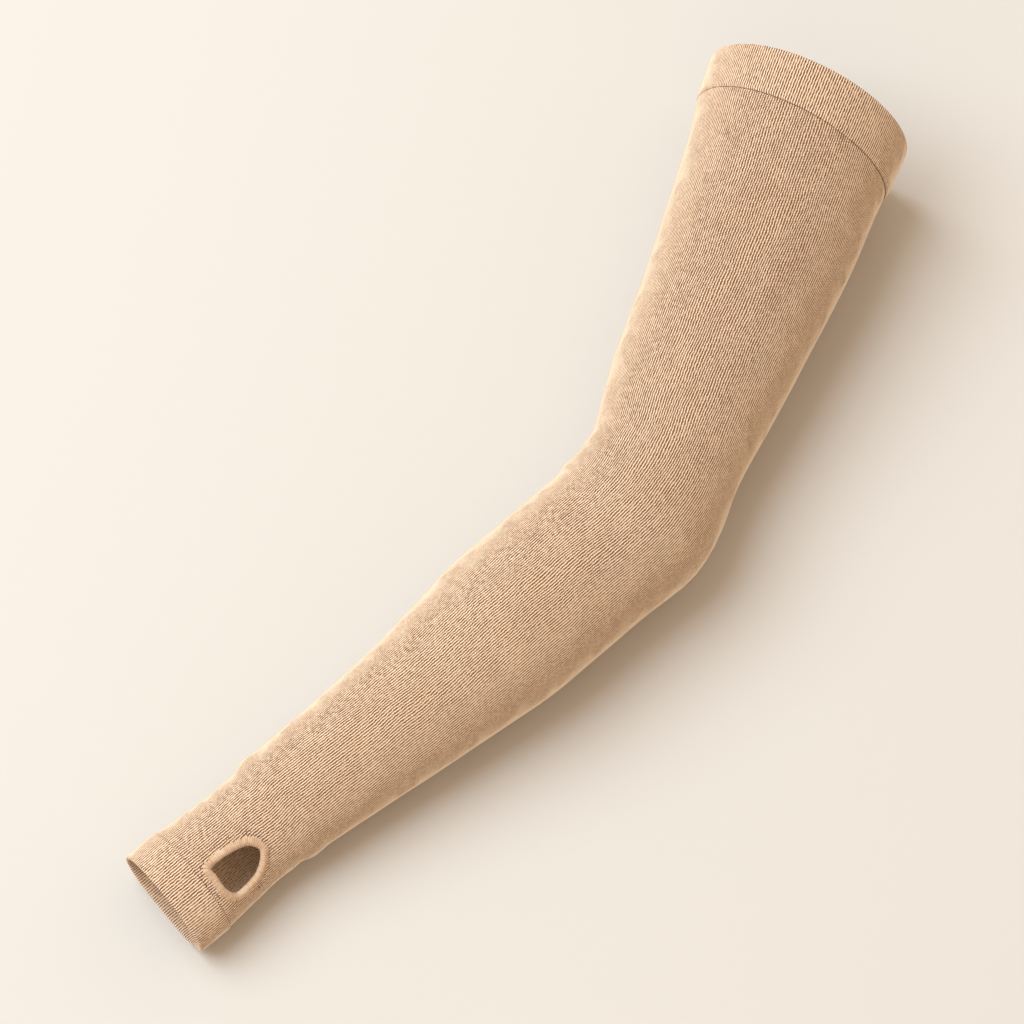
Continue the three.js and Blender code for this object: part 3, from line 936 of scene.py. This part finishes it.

# Stitches that stand out one by one, most of all on the upper arm, with painted highlight on each stitch
# and painted shade between them
COURSE_PITCH = 1.35  # millimetres from one row of stitches to the next
PEBBLES_ALONG = dict(low=240.0, high=420.0, to_low=0.5, to_high=1.0)
PEBBLE_PATCHES = dict(low=0.3, high=0.7, to_low=0.8, to_high=1.1)
PATCH_SCALE = (0.05, 0.07)
SIDE_PEBBLES = 0.4  # strength of the pebbles at the even sides
STITCH_MIDDLE = 0.6
# Painted shade between stitches
PEBBLE_GAP_SHADE = 0.28

# Rows of stitch holes round the thumb hole, darkened with painted shade, in millimetres out from its edge
PITS_RISE = dict(low=2.8, high=3.3)
PITS_END = dict(low=7.0, high=5.0)
PIT_ROW = 1.3
PITS_PER_STITCH = 0.8
PIT_SPOTS = dict(low=0.3, high=0.7)
PIT_CLUMPS = dict(low=0.42, high=0.62)
CLUMP_SCALE = (0.16, 0.5)  # for each overcast stitch and each millimetre out
# Painted shade in the holes
PIT_SHADE = 0.75

# The thread: painted shade in the gaps between stitches, and ramps and noise scales of its tones
GAP_SHARPNESS = 3.0
GAP_SHADE_SHARE = 0.6
THREAD_TONES = dict(low=0.35, high=0.7, to_high=0.35)
THREAD_PATCHES = dict(low=0.5, high=0.65, to_high=0.35)
THREAD_STRANDS = dict(low=0.45, high=0.75, to_high=0.2)
TONE_SCALE = (3.7, 0.1)
THREAD_PATCH_SCALE = (0.11, 1.0)
THREAD_PATCH_ROW = 3.5  # the row of the noise that the patches are read from
STRAND_SCALE = (0.25, 6.0)
FUZZ_SCALE = (1.7, 9.0)

# Bumps: the height of 1 on the knit and on the thread, and shares of it. A full dash of painted highlight is
# 1.
KNIT_BUMP = 0.28 * MM
THREAD_BUMP = 0.15 * MM
GROOVE_HEIGHT = -0.8
PIT_HEIGHT = -1.5
STRAND_HEIGHT = 0.8
FUZZ_HEIGHT = 0.4


def knit_place(shader):
    """The two numbers stored at each corner: for the knit, millimetres along the arm and wales
    round from the crown, and for the roll, places over it and stitches round the hole."""
    place = shader.node("ShaderNodeSeparateXYZ")
    shader.feed(place.inputs[0], shader.node("ShaderNodeUVMap", uv_map="knit").outputs[0])
    return place.outputs[0], place.outputs[1]


def looseness(shader, along, wales):
    """1 round the crown, where the knit is loose, and 0 at its even sides."""
    side_wales = shader.add(shader.times(along, SIDE_WALES_PER_MM), HAND_SIDE_WALES)
    share = shader.math("DIVIDE", shader.math("ABSOLUTE", wales), side_wales)
    return shader.ramp(share, LOOSE_WITHIN, EVEN_BEYOND, to_low=1.0, to_high=0.0)


def pebbles(shader, along, wales, loose):
    """How much the stitches stand out one by one."""
    patch = shader.noise(along, wales, PATCH_SCALE, detail=2.0)
    strength = shader.times(shader.ramp(along, **PEBBLES_ALONG), shader.ramp(patch, **PEBBLE_PATCHES))
    return shader.times(strength, shader.add(shader.times(loose, 1 - SIDE_PEBBLES), SIDE_PEBBLES))


def stitch_holes(shader):
    """Where stitch holes lie in rows round the thumb hole, gathered in clumps; the knit there gets painted
    shade.
    """
    out = shader.attribute("hole_out")
    beside = shader.attribute("hole_stitch")
    near = shader.times(shader.ramp(out, **PITS_RISE), shader.ramp(out, **PITS_END))
    rows = shader.times(shader.wave(shader.times(out, 1 / PIT_ROW)), near)
    spots = shader.times(rows, shader.wave(shader.times(beside, PITS_PER_STITCH)))
    clumps = shader.noise(beside, out, CLUMP_SCALE)
    return shader.times(shader.ramp(spots, **PIT_SPOTS), shader.ramp(clumps, **PIT_CLUMPS))


def knit_material(name, pebbled, pits):
    """Ribs with painted highlight dashes on their crests and painted shade dashes in their grooves.
    pebbled: how much the stitches stand out one by one. pits: whether stitch holes, darkened with
    painted shade, lie round the thumb hole."""
    shader = Shader(name)
    along, even_wales = knit_place(shader)
    loose = looseness(shader, along, even_wales)
    waver = shader.add(shader.noise(along, even_wales, WAVER_SCALE), -0.5)
    wales = shader.add(even_wales, shader.times(waver, shader.times(loose, WAVER)))
    wale = shader.math("FLOOR", shader.add(wales, 0.5))
    furrow = shader.math("FLOOR", wales)
    crest = shader.ramp(shader.wave(wales), **CREST)
    groove = shader.math("SUBTRACT", 1.0, crest)
    stitch = shader.wave(shader.add(shader.times(along, 1 / COURSE_PITCH), shader.times(wale, 0.5)))
    pebble = shader.times(pebbles(shader, along, wales, loose), pebbled)

    furrow_row = shader.add(shader.times(furrow, FURROW_STRIDE), FURROW_START)
    highlight_run = shader.noise(along, wale, (1 / DASH_LENGTH, CREST_STRIDE))
    shade_run = shader.noise(along, furrow_row, (1 / DASH_LENGTH, 1.0))
    # Pebbled stitches: a brighter painted highlight on each stitch and painted shade between them
    raised = shader.add(1.0, shader.times(pebble, shader.add(stitch, -STITCH_MIDDLE)))
    # Painted highlight in dashes on the crests, stronger on raised stitches; it also drives the bump
    light = shader.times(shader.times(shader.ramp(highlight_run, **HIGHLIGHT_DASHES), crest), raised)
    between = shader.times(shader.times(pebble, PEBBLE_GAP_SHADE), shader.math("SUBTRACT", 1.0, stitch))
    # Painted shade in dashes in the grooves and between pebbled stitches; it also drives the bump
    recess_shade = shader.add(shader.times(groove, shader.ramp(shade_run, **GROOVE_SHADE_DASHES)), between)

    blotch = shader.noise(along, wales, BLOTCH_SCALE, detail=3.0)
    base = shader.mix(shader.ramp(blotch, **BLOTCHES), KNIT_BASE, KNIT_PALE_TONE_AND_HIGHLIGHT)
    # Painted highlight on the crests
    colour = shader.mix(shader.times(light, CREST_HIGHLIGHT_SHARE), base, KNIT_PALE_TONE_AND_HIGHLIGHT)
    # Painted shade in the grooves, a little stronger round the crown than at the sides, which so read lighter
    shown = shader.add(shader.times(loose, LOOSE_GROOVE_SHADE_SHARE), SIDE_GROOVE_SHADE_SHARE)
    colour = shader.mix(shader.times(shader.math("MINIMUM", recess_shade, 1.0), shown), colour, KNIT_RECESS_SHADE)
    height = shader.add(light, shader.times(recess_shade, GROOVE_HEIGHT))
    if pits:
        holes = stitch_holes(shader)
        # Painted shade in the stitch holes
        colour = shader.mix(shader.times(holes, PIT_SHADE), colour, KNIT_RECESS_SHADE)
        height = shader.add(height, shader.times(holes, PIT_HEIGHT))
    # The inner face: painted light makes it much paler than the outer, with painted shade in its grooves
    inside = shader.ramp(even_wales, INSIDE_MARK / 2, INSIDE_MARK / 2 + 1)
    inner_colour = shader.mix(shader.times(recess_shade, INSIDE_GROOVE_SHADE_SHARE), INSIDE_PAINTED_LIGHT_BASE, INSIDE_GROOVE_SHADE)
    colour = shader.mix(inside, colour, inner_colour)
    shader.bump(height, KNIT_BUMP)
    return shader.finish(
        Base_Color=colour, Roughness=0.85, Sheen_Weight=0.6, Sheen_Roughness=0.4, Sheen_Tint=SHEEN_TINT
    )


def thread_material():
    """Soft thread in separate stitches, with painted shade in the gaps between them and fine lines along it.
    """
    shader = Shader("overcast_thread")
    over, stitches = knit_place(shader)
    between = shader.math("POWER", shader.wave(stitches), GAP_SHARPNESS)
    index = shader.math("FLOOR", stitches)
    tone = shader.noise(index, over, TONE_SCALE)
    patch = shader.noise(stitches, THREAD_PATCH_ROW, THREAD_PATCH_SCALE)
    strand = shader.noise(over, stitches, STRAND_SCALE, detail=2.0)
    fuzz = shader.noise(over, stitches, FUZZ_SCALE, detail=2.0)
    # Painted shade in the gaps between stitches
    colour = shader.mix(shader.times(between, GAP_SHADE_SHARE), THREAD_LIGHT, THREAD_DEEP_TONE_AND_GAP_SHADE)
    colour = shader.mix(shader.ramp(tone, **THREAD_TONES), colour, THREAD_DEEP_TONE_AND_GAP_SHADE)
    colour = shader.mix(shader.ramp(patch, **THREAD_PATCHES), colour, THREAD_PALE)
    colour = shader.mix(shader.ramp(strand, **THREAD_STRANDS), colour, KNIT_BASE)
    height = shader.add(shader.times(strand, STRAND_HEIGHT), shader.times(fuzz, FUZZ_HEIGHT))
    shader.bump(height, THREAD_BUMP)
    return shader.finish(
        Base_Color=colour, Roughness=0.8, Sheen_Weight=0.35, Sheen_Roughness=0.4, Sheen_Tint=SHEEN_TINT
    )


# The camera, at the photo's angle
CAMERA_AZIMUTH = math.radians(-52.09)
CAMERA_ELEVATION = math.radians(69)
CAMERA_TARGET = Vector((-3.7, 10.7, 36)) * MM
HALF_SEEN = 236.2 * MM  # half of the width that it sees at its target
LENS = 200
SENSOR_WIDTH = 36
FARTHEST_SEEN = 20

# The floor, the sky and the one lamp
FLOOR_HALF = 4
FLOOR_DROP = 0.1 * MM  # so that the knit never meets the floor in one plane
FLOOR_COLOUR = (0.68, 0.667, 0.646, 1)
SKY_COLOUR = (1.0, 0.765, 0.55, 1)
SKY_STRENGTH = 0.71
KEY_LAMP = dict(place=(-0.6, 1.76, 2.92), size=3.3, power=132, colour=(0.83, 0.935, 1.0))


def make_camera():
    data = bpy.data.cameras.new("camera")
    data.sensor_width = SENSOR_WIDTH
    data.lens = LENS
    data.clip_end = FARTHEST_SEEN
    level = math.cos(CAMERA_ELEVATION)
    ahead = (-math.sin(CAMERA_AZIMUTH) * level, math.cos(CAMERA_AZIMUTH) * level, -math.sin(CAMERA_ELEVATION))
    look = Vector(ahead)
    camera = bpy.data.objects.new("camera", data)
    camera.location = CAMERA_TARGET - look * HALF_SEEN * 2 * LENS / SENSOR_WIDTH
    camera.rotation_euler = look.to_track_quat("-Z", "Y").to_euler()
    bpy.context.scene.collection.objects.link(camera)
    bpy.context.scene.camera = camera


def make_floor():
    mesh = bpy.data.meshes.new("floor")
    signs = ((-1, -1), (1, -1), (1, 1), (-1, 1))
    corners = [(FLOOR_HALF * x, FLOOR_HALF * y, 0) for x, y in signs]
    mesh.from_pydata(corners, [], [(0, 1, 2, 3)])
    floor = bpy.data.objects.new("floor", mesh)
    floor.location.z = -FLOOR_DROP
    bpy.context.scene.collection.objects.link(floor)
    shader = Shader("floor_paper")
    mesh.materials.append(shader.finish(Base_Color=FLOOR_COLOUR, Roughness=0.9))


def make_light(name, place, size, power, colour):
    """A round lamp that faces the middle of the sleeve."""
    data = bpy.data.lights.new(name, "AREA")
    data.shape = "DISK"
    data.size = size
    data.energy = power
    data.color = colour
    light = bpy.data.objects.new(name, data)
    light.location = place
    light.rotation_euler = (-Vector(place)).to_track_quat("-Z", "Y").to_euler()
    bpy.context.scene.collection.objects.link(light)


def light_scene():
    make_light("key", **KEY_LAMP)
    world = bpy.data.worlds.new("studio")
    world.use_nodes = True
    background = world.node_tree.nodes["Background"]
    background.inputs["Color"].default_value = SKY_COLOUR
    background.inputs["Strength"].default_value = SKY_STRENGTH
    scene = bpy.context.scene
    scene.world = world
    scene.view_settings.view_transform = "Standard"


def settle(pieces):
    """Moves the finished pieces, made from the hand rim on, to where the solid model stands."""
    low = np.min([np.array(piece.bound_box).min(axis=0) for piece in pieces], axis=0)
    high = np.max([np.array(piece.bound_box).max(axis=0) for piece in pieces], axis=0)
    cad_low, cad_high = (np.array(corner) for corner in cad_box)
    move = (cad_low + cad_high - low - high) / 2
    move[2] = 0  # they lie on the table already
    for piece in pieces:
        piece.data.transform(Matrix.Translation(move))


def dress(piece, material, node):
    """Gives a piece its material, and lets it stand for its node of the solid model."""
    piece.data.materials.clear()
    piece.data.materials.append(material)
    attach(piece, "root")
    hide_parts(node)


make_camera()
make_floor()
light_scene()

tube = make_tube()
cuff = make_band("cuff_band", TOTAL, CUFF_SEAM, CUFF_SEAM + SEAM_LAP, CUFF_LAYER, CUFF_THICKNESS)
hem = make_band("hem_band", 0, HAND_HEM_LENGTH, HAND_HEM_LENGTH - SEAM_LAP, HEM_LAYER, HEM_THICKNESS)
roll = make_binding()
mark_hole(tube)
settle([tube, cuff, hem, roll])

knit = knit_material("rib_knit", pebbled=0.9, pits=True)
band_knit = knit_material("band_knit", pebbled=0.25, pits=False)
dress(tube, knit, "knit_tube")
dress(cuff, band_knit, "upper_cuff")
dress(hem, band_knit, "hand_hem")
dress(roll, thread_material(), "thumb_binding")
